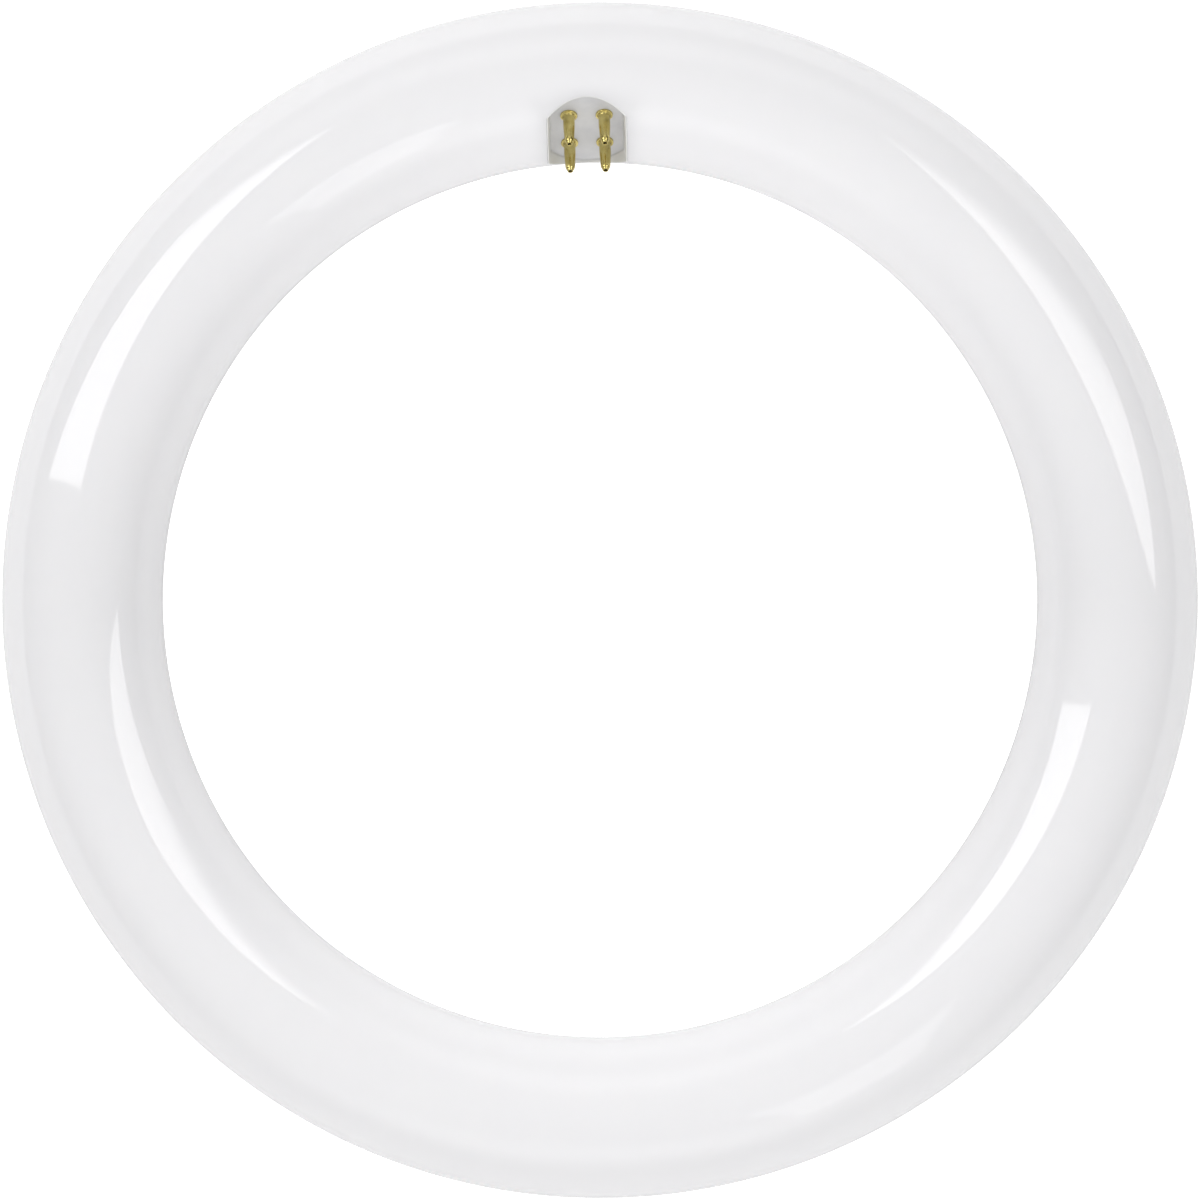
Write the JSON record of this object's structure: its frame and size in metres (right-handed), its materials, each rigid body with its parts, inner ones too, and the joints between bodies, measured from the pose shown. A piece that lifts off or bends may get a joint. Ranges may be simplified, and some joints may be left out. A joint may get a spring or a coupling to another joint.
{
  "type": "circular led tube",
  "caption": "Ring-shaped opal LED tube with a base on its inner side, whose contact pins lean towards the ring's centre.",
  "frame": {"origin": "centre of the ring, in the middle plane of its tube", "axes": "+Z is the ring's axis, towards the side that the pins look out of; +Y points from the centre to the base; +X is along the tube there"},
  "size_m": [0.216, 0.216, 0.029],
  "materials": {
    "opal_polycarbonate": "gloss",
    "base_plastic": "satin",
    "contact_brass": "polished",
    "carrier_aluminium": "satin",
    "white_board": "satin",
    "diode_resin": "gloss",
    "link_tin": "satin",
    "screw_steel": "satin",
    "insulating_film": "matt",
    "spacer_nylon": "matt",
    "glass_fibre_board": "satin",
    "can_sleeve": "gloss",
    "resistor_lacquer": "gloss",
    "varistor_epoxy": "gloss",
    "film_case": "gloss",
    "ferrite": "matt",
    "chip_resin": "matt",
    "lead_insulation": "satin"
  },
  "bodies": {
    "root": {"base_insert": "base_plastic", "board_links": "link_tin", "bridge_rectifier": "chip_resin", "bulk_capacitor": "can_sleeve", "carrier_ring": "carrier_aluminium", "choke": "ferrite", "dc_leads": "lead_insulation", "driver_board": "glass_fibre_board", "driver_chip": "chip_resin", "driver_screws": "screw_steel", "driver_spacers": "spacer_nylon", "film_capacitor": "film_case", "front_shell": "opal_polycarbonate", "fuse_resistor": "resistor_lacquer", "insulating_sheet": "insulating_film", "led_board_1": "white_board", "led_board_2": "white_board", "led_board_3": "white_board", "led_board_4": "white_board", "led_screws": "screw_steel", "leds_1": "diode_resin", "leds_2": "diode_resin", "leds_3": "diode_resin", "leds_4": "diode_resin", "output_capacitor": "can_sleeve", "pin_1": "contact_brass", "pin_2": "contact_brass", "pin_3": "contact_brass", "pin_4": "contact_brass", "pin_lead_1": "lead_insulation", "pin_lead_2": "lead_insulation", "pin_lead_3": "lead_insulation", "pin_lead_4": "lead_insulation", "power_inductor": "ferrite", "rear_shell": "opal_polycarbonate", "small_parts": "chip_resin", "varistor": "varistor_epoxy"}
  },
  "joints": []
}
